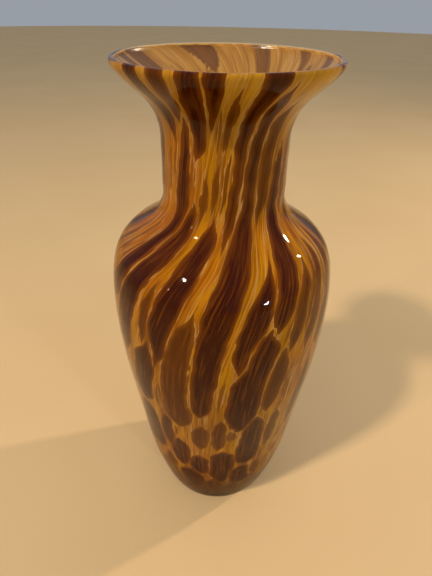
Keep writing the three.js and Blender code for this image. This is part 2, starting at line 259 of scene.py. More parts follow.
class Outline:
    """A brown piece on the wall: its middle and its width in degrees, at a row of heights."""

    # A piece whose top row is wider than this, in degrees, runs up to the lip and is cut off there.
    CUT_WIDTH = 1
    # Lengths of the short and the long waves in an edge, in millimetres.
    WAVE_LENGTHS = ((9, 15), (22, 40))
    # Shares of the full reach that a tip tries in turn, the room it needs, and its width at the old end.
    TIP_SHARES = (1, 0.7, 0.4)
    TIP_ROOM = 0.9 * MM
    TIP_WIDTH = 0.38
    # Room that counts as free when no other piece is near, in degrees.
    FAR = 30.0
    MIN_ROWS = 14
    # A cut piece has its last row but one this far under the cut.
    CUT_ROW = 0.3 * MM
    # The longest taper, as a share of the piece.
    TAPER_SHARE = 0.3
    # A thin piece spreads by no more than this share of its width.
    THIN_SPREAD = 0.2
    # Weights that smooth the spread from row to row.
    SMOOTHER = np.hanning(9)[1:-1] / np.hanning(9)[1:-1].sum()

    def __init__(self, name, heights, middles, widths, tone, seed):
        self.name = name
        self.heights = np.asarray(heights, float)
        self.middles = np.asarray(middles, float)
        self.widths = np.asarray(widths, float)
        self.tone = tone
        self.cut = self.widths[-1] > self.CUT_WIDTH
        self.draw = random.Random(seed)
        self.waves = [
            (self.draw.uniform(*reach) * MM, self.draw.uniform(0, math.tau))
            for reach in self.WAVE_LENGTHS * 2
        ]

    def edges(self, heights):
        """Left and right edge at the given heights, before any wander."""
        middles = np.interp(heights, self.heights, self.middles)
        widths = np.interp(heights, self.heights, self.widths)
        return middles - widths / 2, middles + widths / 2

    def lengthen(self, reach):
        """Draw each tip out along the pattern, as far as the pieces beyond it leave room."""
        for end, sign in ((0, -1), (-1, 1)):
            old = self.heights[end]
            if old < ROUND_ZONE[1] or (end == -1 and self.cut):
                continue
            for share in self.TIP_SHARES:
                tip = old + sign * reach * share
                if tip > PATTERN_TOP - MM:
                    continue
                path = np.linspace(old, tip, 6)
                line = self.middles[end] + twist(path) - twist(old)
                room = np.minimum(*self.room(path, line, line)).min()
                if room * math.radians(wall.radius(tip)) < self.TIP_ROOM:
                    continue
                at = 0 if end == 0 else len(self.heights)
                self.widths[end] = self.TIP_WIDTH * self.widths[1 if end == 0 else -2]
                self.heights = np.insert(self.heights, at, tip)
                self.middles = np.insert(self.middles, at, line[-1])
                self.widths = np.insert(self.widths, at, 0)
                break

    def room(self, heights, left, right):
        """Free degrees to the left and to the right of two edges, up to the nearest other piece."""
        rooms = [np.full(len(heights), self.FAR), np.full(len(heights), self.FAR)]
        low, high = heights.min(), heights.max()
        for other in OUTLINES:
            if other is self or other.heights[0] > high or other.heights[-1] < low:
                continue
            level = (heights > other.heights[0]) & (heights < other.heights[-1])
            other_left, other_right = other.edges(heights)
            aside = ((other_left + other_right) - (left + right)) / 2
            aside = (aside + 180) % 360 - 180
            gap = np.abs(aside) - (other_right - other_left + right - left) / 2
            for side, sign in enumerate((-1, 1)):
                met = level & (aside * sign > 0)
                rooms[side][met] = np.minimum(rooms[side][met], gap[met])
        return rooms

    def wave(self, heights, first):
        """A soft wander between about -1 and 1."""
        total = 0
        for length, phase in self.waves[first : first + 2]:
            total = total + np.sin(heights / length * math.tau + phase)
        return total / 2

    def rows(self, spacing, wander, grow, seam):
        """Heights close together at the round ends, with the left and right edge at each."""
        low, high = self.heights[0], self.heights[-1]
        share = np.linspace(0, 1, max(self.MIN_ROWS, int((high - low) / spacing)))
        if self.cut:
            share = np.insert(1 - np.cos(share * math.pi / 2), -1, 1 - self.CUT_ROW / (high - low))
        else:
            share = (1 - np.cos(share * math.pi)) / 2
        heights = low + (high - low) * share
        middles = smooth_curve(heights, self.heights, self.middles)
        pointed, rounded = (
            np.maximum(smooth_curve(heights, self.heights, self.widths**power), 0) ** (1 / power)
            for power in (POINTED_POWER, ROUND_POWER)
        )
        roundness = 1 - smooth_step(heights, *ROUND_ZONE)
        widths = pointed + (rounded - pointed) * roundness
        widths[0] = 0
        if not self.cut:
            widths[-1] = 0
        per_metre = np.degrees(1 / wall.radius(heights))
        from_tip = heights - low if self.cut else np.minimum(heights - low, high - heights)
        taper = POINTED_TAPER + (ROUND_TAPER - POINTED_TAPER) * roundness
        fade = smooth_step(from_tip, 0, np.minimum(taper, self.TAPER_SHARE * (high - low)))
        reach = grow * (1 + LOW_SPREAD * (1 - smooth_step(heights, *SPREAD_ZONE)))
        if self.tone < DEEP_TONE:
            reach = np.minimum(reach, self.THIN_SPREAD * widths / per_metre)
        ends = len(self.SMOOTHER) // 2
        growths = []
        for free in self.room(heights, *self.edges(heights)):
            growth = np.clip(free / per_metre / 2 - seam / 2, 0, reach)
            padded = np.pad(growth, ends, "edge")
            growths.append(np.convolve(padded, self.SMOOTHER, "valid") * per_metre * fade)
        middles = middles + wander * per_metre * fade * self.wave(heights, 0)
        widths = widths + wander * per_metre * fade * self.wave(heights, 2)
        return heights, middles - widths / 2 - growths[0], middles + widths / 2 + growths[1]


def cad_outline(name, seed, depth):
    """Read a piece's outline back from its CAD node, row by row."""
    points = np.array([vertex.co for vertex in frame["nodes"][name].data.vertices])
    turns = np.degrees(np.arctan2(points[:, 0], -points[:, 1]))
    radians = np.radians(turns)
    centre = math.degrees(math.atan2(np.sin(radians).mean(), np.cos(radians).mean()))
    turns = centre + (turns - centre + 180) % 360 - 180
    heights = wall.height_of(np.hypot(points[:, 0], points[:, 1]), points[:, 2], depth)
    order = np.argsort(heights)
    breaks = np.nonzero(np.diff(heights[order]) > ROW_GAP)[0] + 1
    rows = [(heights[row].mean(), turns[row].min(), turns[row].max()) for row in np.split(order, breaks)]
    levels, left, right = np.array(rows).T
    if right[-1] - left[-1] > Outline.CUT_WIDTH:
        levels[-1] = PATTERN_TOP
    tone = DEEP_TONE if SLOTS[name] == DEEP_BROWN else THIN_TONE
    return Outline(name, levels, (left + right) / 2, right - left, tone, seed)


def small_outline(number, piece):
    """A small piece drawn as a long drop along the combed pattern."""
    turn, top, bottom, width, tone = piece
    share = np.linspace(0, 1, 9)
    heights = (bottom + (top - bottom) * share) * MM
    if heights[-1] > PATTERN_TOP - MM:
        heights = np.minimum(heights, PATTERN_TOP)
        widths = width * np.sin(share * math.pi / 2) ** 0.8
    else:
        widths = width * np.sin(share * math.pi) ** 0.8 * (1.1 - 0.35 * share)
    return Outline(f"small_{number}", heights, turn + twist(heights), widths, tone, SMALL_SEED + number)


def wisp(draw, number):
    """Try one thin streak at a chance place, and return it if there is room for it."""
    span = WISP_SPAN if draw.random() < WISP_ANYWHERE else WISP_SPAN_BELOW
    middle = draw.uniform(*span)
    long = draw.uniform(*(WISP_SHORT if middle < WISP_SHORT_BELOW else WISP_LONG))
    top, bottom = min(middle + long / 2, WISP_ENDS[1]), max(middle - long / 2, WISP_ENDS[0])
    turn = draw.uniform(-180, 180)
    width = math.degrees(draw.uniform(*WISP_WIDTH) * MM / wall.radius(middle * MM))
    streak = small_outline(number, (turn, top, bottom, width, draw.uniform(*WISP_TONE)))
    heights = np.linspace(streak.heights[0], streak.heights[-1], 12)
    room = np.minimum(*streak.room(heights, *streak.edges(heights)))
    free = room / np.degrees(MM / wall.radius(heights))
    return streak if free.min() > WISP_ROOM else None


OUTLINES = []


def all_outlines():
    """Outlines of every brown piece, read or drawn once: the CAD pieces first, then the small ones."""
    if not OUTLINES:
        shape = bpy.context.scene.vase_shape
        depth = shape.cad_piece_depth
        OUTLINES.extend(cad_outline(name, seed, depth) for seed, name in enumerate(BROWNS))
        for outline in OUTLINES:
            outline.lengthen(shape.tip_reach)
        OUTLINES.extend(small_outline(number, piece) for number, piece in enumerate(SMALL_PIECES))
        full = len(OUTLINES) + WISPS
        draw = random.Random(WISP_SEED)
        for number in range(WISP_TRIES):
            streak = wisp(draw, WISP_FIRST + number)
            if streak and len(OUTLINES) < full:
                OUTLINES.append(streak)
    return OUTLINES


# ---------------------------------------------------------------- meshes


def make_object(name, points, faces):
    """A smooth-shaded object from its points and faces."""
    mesh = bpy.data.meshes.new(name)
    mesh.from_pydata(points.tolist(), [], faces)
    piece = bpy.data.objects.new(name, mesh)
    bpy.context.scene.collection.objects.link(piece)
    mesh.polygons.foreach_set("use_smooth", [True] * len(mesh.polygons))
    return piece


def add_numbers(piece, name, values):
    """Store a number at each vertex for the material."""
    attribute = piece.data.attributes.new(name, "FLOAT", "POINT")
    attribute.data.foreach_set("value", np.asarray(values, np.float32))


def add_vectors(piece, name, values):
    """Store a vector at each vertex for the material."""
    attribute = piece.data.attributes.new(name, "FLOAT_VECTOR", "POINT")
    attribute.data.foreach_set("vector", np.asarray(values, np.float32).ravel())


def close_mesh(piece):
    """Join the vertices that meet and turn every face outwards."""
    work = bmesh.new()
    work.from_mesh(piece.data)
    bmesh.ops.remove_doubles(work, verts=work.verts, dist=MERGE)
    bmesh.ops.recalc_face_normals(work, faces=work.faces)
    work.to_mesh(piece.data)
    work.free()


def flow(turns, heights):
    """Place in the combed pattern: round a drum of fixed size, and along the wall, in millimetres."""
    angle = np.radians(turns - twist(heights))
    return np.stack([DRUM * np.cos(angle), DRUM * np.sin(angle), wall.arc(heights) / MM], axis=-1)


def grid_faces(rows, columns, first, flip=False):
    """Four-sided faces of a grid of vertices, numbered row by row."""
    faces = []
    for row in range(rows - 1):
        for column in range(columns - 1):
            a = first + row * columns + column
            face = (a, a + 1, a + columns + 1, a + columns)
            faces.append(face[::-1] if flip else face)
    return faces


def slab(outline, shape, depth_shift):
    """Points, faces and values of one brown piece: a thin slab bent to the wall, rounded at its edge."""
    heights, left, right = outline.rows(shape.row_spacing, shape.wander, shape.grow, shape.seam)
    across = np.sin(np.linspace(-math.pi / 2, math.pi / 2, shape.columns))
    turns = (left + right)[:, None] / 2 + (right - left)[:, None] / 2 * across
    levels = np.repeat(heights[:, None], shape.columns, axis=1)
    flat = wall.place(turns, levels, shape.piece_edge_depth)
    rim = np.concatenate([flat[:, 0], flat[:, -1]])
    tree = KDTree(len(rim))
    for index, point in enumerate(rim):
        tree.insert(point, index)
    tree.balance()
    inside = np.array([tree.find(point)[2] for point in flat.reshape(-1, 3)]).reshape(turns.shape)
    rise = smooth_step(inside, 0, shape.edge_rounding)
    if outline.cut:
        rise[-1] = 0
    top = shape.piece_edge_depth + (shape.piece_top_depth + depth_shift - shape.piece_edge_depth) * rise
    back = shape.piece_edge_depth + (shape.piece_back_depth - shape.piece_edge_depth) * rise
    front_points = wall.place(turns, levels, top).reshape(-1, 3)
    back_points = wall.place(turns, levels, back).reshape(-1, 3)
    count = turns.size
    faces = grid_faces(*turns.shape, 0) + grid_faces(*turns.shape, count, flip=True)
    values = {
        "edge": np.tile(inside.ravel() / MM, 2),
        "tone": np.full(2 * count, outline.tone),
        "flow": np.tile(flow(turns.ravel(), levels.ravel()), (2, 1)),
    }
    return np.concatenate([front_points, back_points]), faces, values


def brown_piece(name, outlines, shape):
    """One object from one or more outlines."""
    points, faces, values = [], [], {"edge": [], "tone": [], "flow": []}
    for outline in outlines:
        shift = outline.draw.uniform(-shape.depth_play, shape.depth_play)
        new_points, new_faces, new_values = slab(outline, shape, shift)
        start = sum(len(part) for part in points)
        points.append(new_points)
        faces.extend([tuple(start + index for index in face) for face in new_faces])
        for key, part in new_values.items():
            values[key].append(part)
    piece = make_object(name, np.concatenate(points), faces)
    add_numbers(piece, "edge", np.concatenate(values["edge"]))
    add_numbers(piece, "tone", np.concatenate(values["tone"]))
    add_vectors(piece, "flow", np.concatenate(values["flow"]))
    close_mesh(piece)
    return piece


def revolve(profile, segments):
    """Points and faces of a closed body turned from a profile whose two ends are on the axis."""
    angles = np.linspace(0, math.tau, segments, endpoint=False)
    inner = profile[1:-1]
    rings = np.stack(
        [
            inner[:, 0, None] * np.sin(angles),
            -inner[:, 0, None] * np.cos(angles),
            np.repeat(inner[:, 1, None], segments, axis=1),
        ],
        axis=-1,
    ).reshape(-1, 3)
    points = np.concatenate([rings, [[0, 0, profile[0, 1]], [0, 0, profile[-1, 1]]]])
    faces = []
    for row in range(len(inner) - 1):
        for column in range(segments):
            following = (column + 1) % segments
            a, b = row * segments + column, row * segments + following
            faces.append((a, b, b + segments, a + segments))
    last = (len(inner) - 1) * segments
    for column in range(segments):
        following = (column + 1) % segments
        faces.append((following, column, len(rings)))
        faces.append((last + column, last + following, len(rings) + 1))
    return points, faces


def bend(start, corner, end, steps):
    """A soft turn from start to end around a corner."""
    t = np.linspace(0, 1, steps + 2)[1:-1, None]
    start, corner, end = (np.asarray(point, float) for point in (start, corner, end))
    return start * (1 - t) ** 2 + 2 * corner * t * (1 - t) + end * t**2


def run(low, high, spacing):
    """Evenly spaced heights from one height to another."""
    return np.linspace(low, high, max(2, int(abs(high - low) / spacing)))


def section(heights, depth):
    """Radius and height of places a depth below the wall, as part of a profile."""
    return np.stack(wall.below(heights, depth), axis=-1)


def thickness(shape, heights):
    """Thickness of the whole wall, which thins towards the lip."""
    thinning = smooth_step(heights, LIP_START, HEIGHT)
    return shape.wall_thickness + (shape.lip_wall - shape.wall_thickness) * thinning


# ---------------------------------------------------------------- materials


class Wire:
    """A node's output in an expression: each operator adds the Math node that works it out."""

    def __init__(self, recipe, socket):
        self.recipe = recipe
        self.socket = socket

    def math(self, operation, first, second):
        """Add a Math node."""
        return self.recipe.add("ShaderNodeMath", {"operation": operation}, {0: first, 1: second})

    def __add__(self, other):
        return self.math("ADD", self, other)

    __radd__ = __add__

    def __mul__(self, other):
        return self.math("MULTIPLY", self, other)

    __rmul__ = __mul__

    def __sub__(self, other):
        return self.math("SUBTRACT", self, other)

    def __rsub__(self, other):
        return self.math("SUBTRACT", other, self)


class Recipe:
    """The node tree of one material."""

    def __init__(self, name):
        self.material = bpy.data.materials.new(name)
        self.material.use_nodes = True
        self.tree = self.material.node_tree
        self.tree.nodes.clear()

    def add(self, kind, settings=None, inputs=None, output=0):
        """Add a node, set it up, feed its sockets, and give back one of its outputs."""
        node = self.tree.nodes.new(kind)
        for name, value in (settings or {}).items():
            setattr(node, name, value)
        for name, value in (inputs or {}).items():
            if isinstance(value, Wire):
                self.tree.links.new(value.socket, node.inputs[name])
            else:
                node.inputs[name].default_value = value
        return Wire(self, node.outputs[output])

    def number(self, name):
        """A number stored at the vertices."""
        return self.add("ShaderNodeAttribute", {"attribute_name": name}, output="Fac")

    def flow(self, across, along):
        """The combed pattern's place, with lengths scaled across and along it."""
        place = self.add("ShaderNodeAttribute", {"attribute_name": "flow"}, output="Vector")
        inputs = {0: place, 1: (across, across, along)}
        return self.add("ShaderNodeVectorMath", {"operation": "MULTIPLY"}, inputs)

    def combed(self, along, scale, **settings):
        """Noise drawn out along the combed pattern: the smaller along is, the longer its streaks."""
        return self.noise(self.flow(1.0, along), scale, **settings)

    def noise(self, place, scale=1.0, detail=3.0, distortion=0.0, roughness=0.5):
        """Soft noise between 0 and 1."""
        return self.add(
            "ShaderNodeTexNoise",
            {"noise_dimensions": "3D"},
            {
                "Vector": place,
                "Scale": scale,
                "Detail": detail,
                "Roughness": roughness,
                "Distortion": distortion,
            },
            output="Fac",
        )

    def between(self, value, low, high):
        """0 below low, 1 above high, and a soft step between."""
        return self.add(
            "ShaderNodeMapRange",
            {"interpolation_type": "SMOOTHSTEP"},
            {"Value": value, "From Min": low, "From Max": high},
        )

    def blend(self, factor, first, second):
        """Mix two colours."""
        colours = [value if isinstance(value, Wire) else (*value, 1) for value in (first, second)]
        settings = {"data_type": "RGBA", "clamp_factor": True}
        return self.add("ShaderNodeMix", settings, {0: factor, 6: colours[0], 7: colours[1]}, output=2)

    def height(self):
        """Height above the table in millimetres."""
        place = self.add("ShaderNodeTexCoord", output="Object")
        return self.add("ShaderNodeSeparateXYZ", inputs={0: place}, output="Z") * 1000

    def bump(self, height, strength, distance):
        """A normal that follows a relief."""
        inputs = {"Height": height, "Strength": strength, "Distance": distance}
        return self.add("ShaderNodeBump", inputs=inputs)

    def finish(self, shader):
        """Make a shader the material's surface, and give back the material."""
        node = self.tree.nodes.new("ShaderNodeOutputMaterial")
        self.tree.links.new(shader.socket, node.inputs["Surface"])
        return self.material


def clear_glass(colours):
    """Clear casing glass: faint waves of hand work, duller round the foot and tinted dark there as
    painted shade over the base, and open to light.
    """
    recipe = Recipe("clear_casing_glass")
    waves = recipe.combed(0.45, 0.05, detail=2)
    colour = recipe.blend(waves, colours.clear, colours.clear_thick)
    height = recipe.height()
    surface = {
        # The brown tint over the base is painted shade: it darkens the foot seen through the clear glass.
        "Base Color": recipe.blend(recipe.between(height, *CLEAR_SHADE_ZONE), colour, colours.clear_foot_shade),
        "Roughness": 0.02,
        "Transmission Weight": 1.0,
        "Normal": recipe.bump(waves, 0.3, 0.001),
    }
    glossy = recipe.add("ShaderNodeBsdfPrincipled", inputs={**surface, "IOR": CLEAR_IOR})
    dull = recipe.add("ShaderNodeBsdfPrincipled", inputs={**surface, "IOR": DULL_IOR})
    dullness = recipe.between(height, *CLEAR_DULL_ZONE) * 0.85
    glass = recipe.add("ShaderNodeMixShader", inputs={0: dullness, 1: glossy, 2: dull})
    passed = recipe.add("ShaderNodeBsdfTransparent", inputs={"Color": CLEAR_SHADOW})
    shadow = recipe.add("ShaderNodeLightPath", output="Is Shadow Ray")
    return recipe.finish(recipe.add("ShaderNodeMixShader", inputs={0: shadow, 1: glass, 2: passed}))


def amber_colour(recipe, colours):
    """Colour of the amber glass, and its fine combed hairs and broad bands along the pattern."""
    bands = recipe.combed(0.12, 0.16, distortion=0.4)
    hairs = recipe.combed(0.045, 1.1, roughness=0.6)
    clouds = recipe.combed(0.8, 0.035, detail=2)
    colour = recipe.blend(recipe.between(bands, 0.34, 0.66), colours.amber_deep, colours.amber)
    colour = recipe.blend(recipe.between(clouds, 0.45, 0.7) * 0.55, colour, colours.orange)
    streaks = recipe.combed(0.06, 0.4, detail=2, distortion=0.2)
    colour = recipe.blend(recipe.between(streaks, 0.53, 0.66) * 0.6, colour, colours.stain)
    colour = recipe.blend(recipe.between(hairs, 0.5, 0.64) * 0.75, colour, colours.amber_hair)
    colour = recipe.blend(recipe.between(hairs, 0.46, 0.3) * 0.5, colour, colours.amber_light)
    veins = recipe.combed(0.05, 0.2, detail=2, distortion=0.3) - 0.5
    colour = recipe.blend(recipe.between(veins * veins, 0.0006, 0.00005) * 0.4, colour, colours.seam)
    height = recipe.height()
    colour = recipe.blend(recipe.between(height, *STRAW_ZONE) * 0.4, colour, colours.straw)
    # Darker towards the foot: partly the foot's own dark ringed glass, partly painted shade for the
    # shaded base.
    rings = recipe.noise(recipe.flow(0.35, 1.0), scale=0.28)
    foot = recipe.between(height + rings * 24, *AMBER_FOOT_DARK_AND_SHADE_ZONE)
    return recipe.blend(foot * 0.85, colour, colours.foot), hairs, bands


def amber_glass(colours):
    """The amber ground under the casing."""
    recipe = Recipe("amber_glass")
    colour, hairs, bands = amber_colour(recipe, colours)
    return recipe.finish(
        recipe.add(
            "ShaderNodeBsdfPrincipled",
            inputs={
                "Base Color": colour,
                "Roughness": 0.34 + hairs * 0.2,
                "Specular IOR Level": 0.0,
                "Normal": recipe.bump(hairs + bands * 0.5, 0.25, 0.0004),
            },
        )
    )


def lit_inside_glass(colours):
    """The inside of the lining: the pattern seen from inside, painted paler than the amber outside as
    painted light for the light that shines in through the glass.
    """
    recipe = Recipe("amber_glass_inside")
    hairs = recipe.combed(0.05, 0.8, roughness=0.6)
    bands = recipe.combed(0.12, 0.2)
    colour = recipe.blend(recipe.between(bands, 0.35, 0.65), colours.inside_deep, colours.inside)
    colour = recipe.blend(recipe.between(hairs, 0.48, 0.7) * 0.5, colour, colours.inside_pale)
    stain = recipe.between(recipe.number("brown") + (hairs - 0.5) * 1.6, 0.15, 0.85)
    colour = recipe.blend(stain * (0.45 + 0.7 * bands), colour, colours.inside_brown)
    return recipe.finish(
        recipe.add(
            "ShaderNodeBsdfPrincipled",
            inputs={
                "Base Color": colour,
                "Roughness": 0.1 + hairs * 0.12,
                "Specular IOR Level": 0.5,
                "Normal": recipe.bump(bands + hairs * 0.15, 0.3, 0.0006),
            },
        )
    )


def brown_glass(name, colours, core, rim, clearness):
    """Brown glass: its edge frays into the amber along the combing, and it is dark where it is thick."""
    recipe = Recipe(name)
    ground = amber_colour(recipe, colours)[0]
    edge = recipe.number("edge")
    comb = recipe.combed(0.05, 0.75, roughness=0.6)
    lobes = recipe.combed(0.3, 0.17)
    reach = edge + 0.4 + (comb - 0.5) * 3.4 + (lobes - 0.5) * 3.6
    colour = recipe.blend(recipe.between(reach, 0.9, 3.6), rim, core)
    colour = recipe.blend(recipe.between(lobes, 0.5, 0.72) * clearness, colour, colours.brown_glow)
    colour = recipe.blend(recipe.between(comb, 0.47, 0.66) * 0.7, colour, rim)
    thin = recipe.between(recipe.number("tone"), 0.55, 0.05)
    colour = recipe.blend(thin * 0.65, colour, colours.stain)
    gaps = 1 - thin * recipe.between(comb, 0.52, 0.42) * 0.85
    # The pieces and the seams beside them darken towards the foot: partly the foot's own dark glass,
    # partly painted shade for the shaded base.
    height = recipe.height()
    shade = recipe.between(height, *BROWN_FOOT_DARK_AND_SHADE_ZONE) * 0.8
    line = recipe.blend(recipe.between(height, *SEAM_FOOT_DARK_AND_SHADE_ZONE) * 0.75, colours.seam, colours.foot)
    ground = recipe.blend(recipe.between(reach, -0.2, 0.4) * 0.7, ground, line)
    colour = recipe.blend(shade * 0.5, colour, colours.foot)
    colour = recipe.blend(recipe.between(reach, 0.3, 0.9) * gaps, ground, colour)
    colour = recipe.blend(recipe.between(edge, 0.38, 0.08) * 0.65, colour, line)
    return recipe.finish(
        recipe.add(
            "ShaderNodeBsdfPrincipled",
            inputs={
                "Base Color": colour,
                "Roughness": 0.3 + lobes * 0.25,
                "Specular IOR Level": 0.0,
            },
        )
    )


def floor_paper(colours):
    """Pale matt floor with a faint grain."""
    recipe = Recipe("pale_floor")
    place = recipe.add("ShaderNodeTexCoord", output="Object")
    grain = recipe.noise(place, scale=420)
    patches = recipe.noise(place, scale=5, detail=2)
    dark = recipe.between(patches, 0.3, 0.7) * 0.3 + grain * 0.12
    colour = recipe.blend(dark, colours.floor, colours.floor_dark)
    return recipe.finish(
        recipe.add(
            "ShaderNodeBsdfPrincipled",
            inputs={
                "Base Color": colour,
                "Roughness": 0.75 + grain * 0.15,
                "Specular IOR Level": 0.25,
                "Normal": recipe.bump(grain, 0.15, 0.0004),
            },
        )
    )


# ---------------------------------------------------------------- settings


def length(name, description, millimetres):
    """A length setting, given in millimetres."""
    return FloatProperty(
        name=name, description=description, default=millimetres * MM, unit="LENGTH", subtype="DISTANCE"
    )


def angle(name, description, degrees):
    """An angle setting, given in degrees."""
    return FloatProperty(
        name=name, description=description, default=math.radians(degrees), subtype="ANGLE"
    )


def colour(name, description, red, green, blue):
    """A colour setting, given as it is picked on a screen."""
    return FloatVectorProperty(
        name=name,
        description=description,
        default=srgb(red, green, blue),
        size=3,
        subtype="COLOR",
        min=0,
        max=1,
    )


class VaseShape(bpy.types.PropertyGroup):
    """Depths in the wall and fineness of the meshes."""

    casing_back_depth: length("Casing back", "Depth of the casing's inner face, inside the amber", 2.5)
    lining_depth: length("Amber depth", "Depth of the amber's outer face", 2.1)
    wall_thickness: length("Wall", "Thickness of the whole wall", 4.2)
    lip_wall: length("Lip wall", "Thickness of the wall at the lip", 2.8)
    lip_height: length("Lip height", "Height of the clear rounded lip", 0.9)
    piece_top_depth: length("Piece top", "Depth of a brown piece's face", 1.86)
    piece_edge_depth: length("Piece edge", "Depth of a brown piece's edge", 2.16)
    piece_back_depth: length("Piece back", "Depth of a brown piece's back", 2.5)
    cad_piece_depth: length("Read depth", "Depth at which the pieces' outlines are read", 2.27)
    edge_rounding: length("Edge rounding", "Width of a brown piece's rounded edge", 0.9)
    depth_play: length("Depth play", "How much the pieces differ in depth", 0.06)
    wander: length("Wander", "How far a piece's edge wanders", 0.5)
    grow: length("Growth", "How far a piece spreads into the room beside it", 2.2)
    seam: length("Seam", "Amber left between two pieces", 0.3)
    tip_reach: length("Tip reach", "How far a piece's tips are drawn out", 7)
    row_spacing: length("Rows", "Distance between a piece's rows of vertices", 1.5)
    columns: IntProperty(name="Columns", description="Vertices across a piece", default=15, min=5)
    segments: IntProperty(name="Segments", description="Faces round the vase", default=240, min=36)


class VaseColours(bpy.types.PropertyGroup):
    """Colours of the glass and of the floor."""

    clear: colour("Clear", "Clear glass", 250, 252, 250)
    clear_thick: colour("Clear, thick", "Clear glass where it is thick", 240, 247, 243)
    # Painted shade: this tint darkens the base seen through the clear glass.
    clear_foot_shade: colour("Clear, foot", "Clear glass over the dark foot", 104, 70, 46)
    amber: colour("Amber", "Bright amber ground", 174, 115, 3)
    amber_deep: colour("Deep amber", "Darker bands of the ground", 130, 77, 2)
    amber_light: colour("Light amber", "Light hairs in the ground", 182, 130, 30)
    amber_hair: colour("Amber hair", "Dark hairs in the ground", 108, 58, 6)
    orange: colour("Orange", "Orange clouds in the ground", 166, 86, 5)
    straw: colour("Straw", "Paler ground near the lip", 196, 144, 46)
    # Dark colour round the foot: partly the base's own dark glass, partly painted shade for the shaded
    # base.
    foot: colour("Foot", "Dark glass round the foot", 60, 29, 14)
    seam: colour("Seam", "Thin pale line at a piece's edge", 188, 142, 82)
    brown_core: colour("Brown", "Middle of a dark piece", 56, 22, 8)
    brown_rim: colour("Red brown", "Thin edge of a dark piece", 108, 56, 5)
    brown_glow: colour("Brown glow", "Clearer places in a brown piece", 98, 50, 5)
    thin_core: colour("Thin brown", "Middle of a thin piece", 78, 38, 6)
    thin_rim: colour("Thin edge", "Edge of a thin piece", 114, 64, 6)
    stain: colour("Stain", "The thinnest pieces", 140, 82, 8)
    # The inside colours are painted light: paler copies of the amber and the brown for the light that
    # shines in through the glass.
    inside: colour("Inside", "Inside of the mouth", 196, 142, 64)
    inside_deep: colour("Inside, deep", "Darker bands inside the mouth", 168, 114, 44)
    inside_pale: colour("Inside, pale", "Pale hairs inside the mouth", 220, 178, 112)
    inside_brown: colour("Inside, brown", "Brown pieces seen from inside", 104, 62, 30)
    floor: colour("Floor", "Pale floor", 240, 204, 152)
    floor_dark: colour("Floor, dark", "Patches of the floor", 229, 190, 136)


class VaseStage(bpy.types.PropertyGroup):
    """Floor, light and camera."""

    floor_radius: FloatProperty(
        name="Floor", description="Radius of the floor", default=5, unit="LENGTH", subtype="DISTANCE"
    )
    focal_length: FloatProperty(
        name="Focal length", description="Camera lens in millimetres", default=25.94
    )
    camera_back: length("Camera back", "Distance of the camera in front of the vase's axis", 209.3)
    camera_height: length("Camera height", "Height of the camera above the table", 323.2)
    pitch: angle("Pitch", "Camera's tilt down", 35.73)
    yaw: angle("Yaw", "Camera's turn", -0.857)
    roll: angle("Roll", "Camera's roll", 1.089)
    sky: FloatProperty(name="Sky", description="Strength of the light from all round", default=0.5)
    warm: colour("Warm light", "Colour of the room's lamps", 255, 236, 206)
    cool: colour("Cool light", "Colour of the window", 222, 236, 255)
    surround: colour("Surround", "Colour of the light from all round", 206, 214, 224)


# ---------------------------------------------------------------- the pieces


